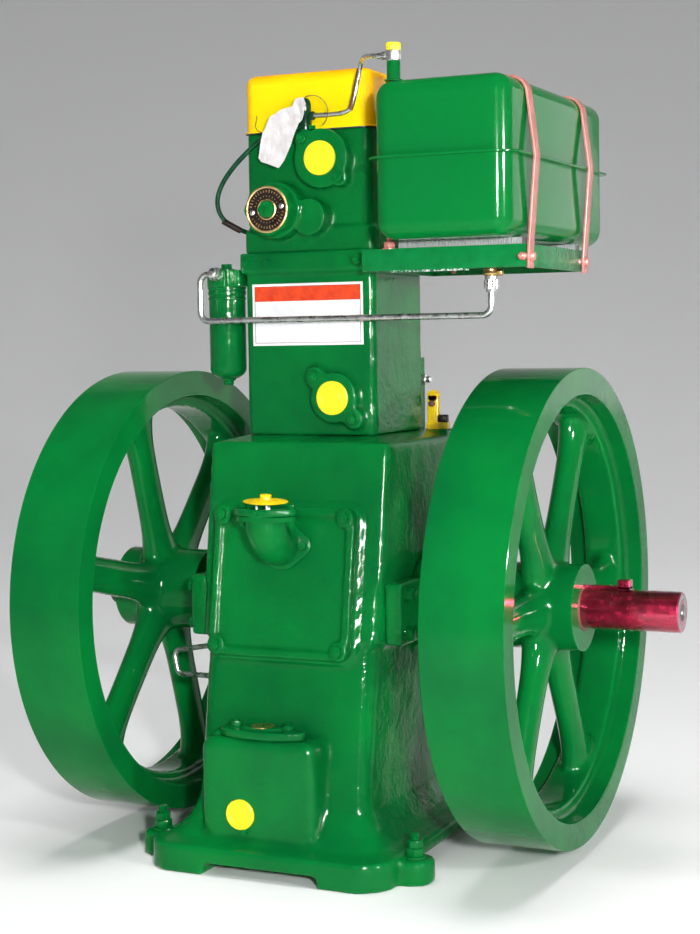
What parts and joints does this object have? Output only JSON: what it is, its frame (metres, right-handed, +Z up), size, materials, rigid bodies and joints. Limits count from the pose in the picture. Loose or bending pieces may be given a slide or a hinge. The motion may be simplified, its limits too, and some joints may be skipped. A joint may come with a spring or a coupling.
{
  "type": "stationary diesel engine",
  "caption": "Vertical single-cylinder stationary diesel engine with two spoked flywheels, a strapped fuel tank on a side bracket and a free shaft end to drive a machine.",
  "frame": {"origin": "centre of the four foot bolt holes, on the underside of the feet", "axes": "+X along the crankshaft towards the drive end, +Y to the rear, +Z up"},
  "size_m": [0.8068, 0.6, 1.0062],
  "materials": {
    "green_paint": "gloss enamel",
    "yellow_paint": "gloss enamel",
    "yellow_plastic": "moulded plug",
    "dial_black": "etched dial",
    "dark_steel": "gloss",
    "bright_steel": "zinc plated",
    "grey_packing": "matt",
    "salmon_paint": "satin primer",
    "brass": "turned",
    "paper": "matt",
    "red_shaft": "clear red lacquer on ground steel"
  },
  "bodies": {
    "engine": {"crankcase": "green_paint", "crankcase_door_front": "green_paint", "crankcase_door_rear": "green_paint", "filler_elbow": "green_paint", "filler_cap": "yellow_paint", "sump_cover": "green_paint", "sump_drain_plug": "yellow_plastic", "bearing_housing_left": "green_paint", "bearing_housing_right": "green_paint", "cylinder_block": "green_paint", "block_water_plug": "yellow_plastic", "cylinder_head": "green_paint", "head_water_plug": "yellow_plastic", "rocker_cover": "yellow_paint", "changeover_handwheel": "dial_black", "injector": "dark_steel", "injection_pipe": "dark_steel", "leak_off_pipe": "bright_steel", "tank_return_fitting": "bright_steel", "tank_return_cap": "yellow_plastic", "fuel_tank_lower": "green_paint", "fuel_tank_upper": "green_paint", "tank_bracket": "green_paint", "tank_packing_front": "grey_packing", "tank_packing_rear": "grey_packing", "tank_strap_front": "salmon_paint", "tank_strap_rear": "salmon_paint", "strap_stud_front": "salmon_paint", "strap_stud_rear": "salmon_paint", "fuel_tap": "brass", "fuel_tap_nut": "bright_steel", "fuel_pipe": "bright_steel", "fuel_filter_bowl": "green_paint", "fuel_filter_head": "green_paint", "filter_banjo": "bright_steel", "oil_pipe": "bright_steel", "oil_union": "bright_steel", "level_plug": "bright_steel", "fuel_pump": "green_paint", "push_rod_tube_1": "green_paint", "push_rod_tube_2": "green_paint", "stop_lever": "yellow_paint", "paper_tag": "paper"},
    "crank": {"crankshaft": "red_shaft", "output_key": "red_shaft", "left_key": "red_shaft", "flywheel_left": "green_paint", "flywheel_right": "green_paint"}
  },
  "joints": [
    {"name": "crank_spin", "type": "hinge", "parent": "engine", "child": "crank", "pos_m": [0, 0, 0.318], "axis": [1, 0, 0], "continuous": true}
  ]
}
